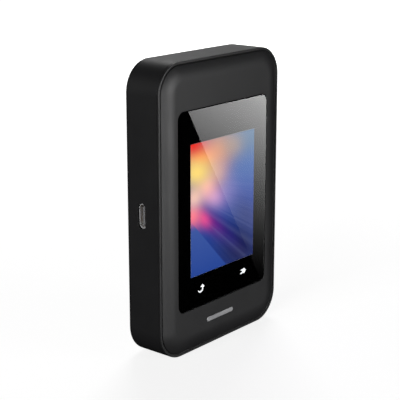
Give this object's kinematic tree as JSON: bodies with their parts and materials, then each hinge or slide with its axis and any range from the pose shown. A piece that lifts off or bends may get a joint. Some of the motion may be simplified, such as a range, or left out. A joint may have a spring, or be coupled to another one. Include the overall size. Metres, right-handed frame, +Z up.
{
  "type": "mobile hotspot",
  "caption": "Pocket mobile hotspot with a touch display, USB-C socket, power key and snap-off back cover over a removable battery and SIM card.",
  "frame": {"origin": "centre of the object's bounding box at its base, the body standing on its bottom edge", "axes": "+X to the right as seen from the front, -Y out of the display, +Y out of the back cover, +Z up the long side"},
  "size_m": [0.068, 0.0168, 0.1075],
  "materials": {
    "shell_plastic": "fine-textured satin black moulding",
    "frame_plastic": "satin black moulding, a little smoother than the shells",
    "cover_glass": "clear polished cover glass",
    "black_ink": "black screen-printed ink under the glass",
    "white_ink": "white screen-printed ink under the glass",
    "adhesive_foam": "black foam tape",
    "badge_metal": "satin silver inlay",
    "display_cell": "lit colour display",
    "backlight_film": "white reflector film in a metal tray",
    "flex_film": "amber polyimide film with copper tracks",
    "connector_plastic": "natural connector plastic",
    "board_laminate": "green solder mask over glass-fibre laminate",
    "shield_steel": "tin-plated steel sheet",
    "chip_resin": "black moulding resin",
    "chip_ceramic": "ceramic chip parts",
    "thermal_silicone": "soft blue silicone gap pad",
    "graphite_film": "graphite heat-spreading film",
    "port_steel": "nickel-plated stainless steel",
    "port_plastic": "black glass-filled plastic",
    "gold_plate": "gold-plated contacts",
    "key_plastic": "satin black key cap",
    "plunger_plastic": "ivory switch plunger",
    "battery_can": "battery pack in dark film over its can",
    "label_film": "plain pale label film",
    "card_plastic": "white card plastic",
    "screw_steel": "black-oxide steel"
  },
  "bodies": {
    "chassis": {"front_panel": "shell_plastic", "front_frame": "frame_plastic", "rear_housing": "shell_plastic", "cover_glass": "cover_glass", "glass_mask": "black_ink", "touch_key_icons": "white_ink", "glass_adhesive": "adhesive_foam", "badge_inlay": "badge_metal", "lcd_panel": "display_cell", "lcd_backlight": "backlight_film", "lcd_foam": "adhesive_foam", "display_flex": "flex_film", "touch_flex": "flex_film", "display_connector": "connector_plastic", "touch_connector": "connector_plastic", "main_board": "board_laminate", "modem_shield": "shield_steel", "radio_shield": "shield_steel", "power_shield": "shield_steel", "modem_chip": "chip_resin", "memory_chip": "chip_resin", "radio_chip": "chip_resin", "power_chip": "chip_resin", "thermal_pad": "thermal_silicone", "heat_sheet": "graphite_film", "board_passives": "chip_ceramic", "usb_c_shell": "port_steel", "usb_c_insert": "port_plastic", "usb_c_contacts": "gold_plate", "power_switch": "chip_resin", "reset_switch": "chip_resin", "battery_connector": "port_plastic", "battery_springs": "gold_plate", "sim_socket": "port_plastic", "sim_cage": "shield_steel", "sim_contacts": "gold_plate", "top_antenna": "flex_film", "bottom_antenna": "flex_film", "left_antenna": "flex_film", "right_antenna": "flex_film", "chassis_screws": "screw_steel"},
    "power_key": {"power_button": "key_plastic", "power_plunger": "plunger_plastic"},
    "reset_key": {"reset_button": "plunger_plastic"},
    "cover": {"back_cover": "shell_plastic"},
    "battery": {"battery_case": "battery_can", "battery_end_cap": "port_plastic", "battery_label": "label_film", "battery_pads": "gold_plate"},
    "sim": {"sim_card": "card_plastic", "sim_card_pads": "gold_plate"}
  },
  "joints": [
    {"name": "power_button_press", "type": "slide", "parent": "chassis", "child": "power_key", "axis": [-1, 0, 0], "range_m": [0, 0.00035], "stiffness_N_per_m": 4000},
    {"name": "reset_button_press", "type": "slide", "parent": "chassis", "child": "reset_key", "axis": [0, -1, 0], "range_m": [0, 0.00025], "stiffness_N_per_m": 4000},
    {"name": "cover_lift", "type": "slide", "parent": "chassis", "child": "cover", "axis": [0, 1, 0], "range_m": [0, 0.04]},
    {"name": "battery_lift", "type": "slide", "parent": "chassis", "child": "battery", "axis": [0, 1, 0], "range_m": [0, 0.02]},
    {"name": "sim_card_slide", "type": "slide", "parent": "chassis", "child": "sim", "axis": [0, 0, -1], "range_m": [0, 0.012]}
  ],
  "couplings": [
    {"joint": "battery_lift", "follows": "cover_lift", "ratio": 0.5}
  ]
}
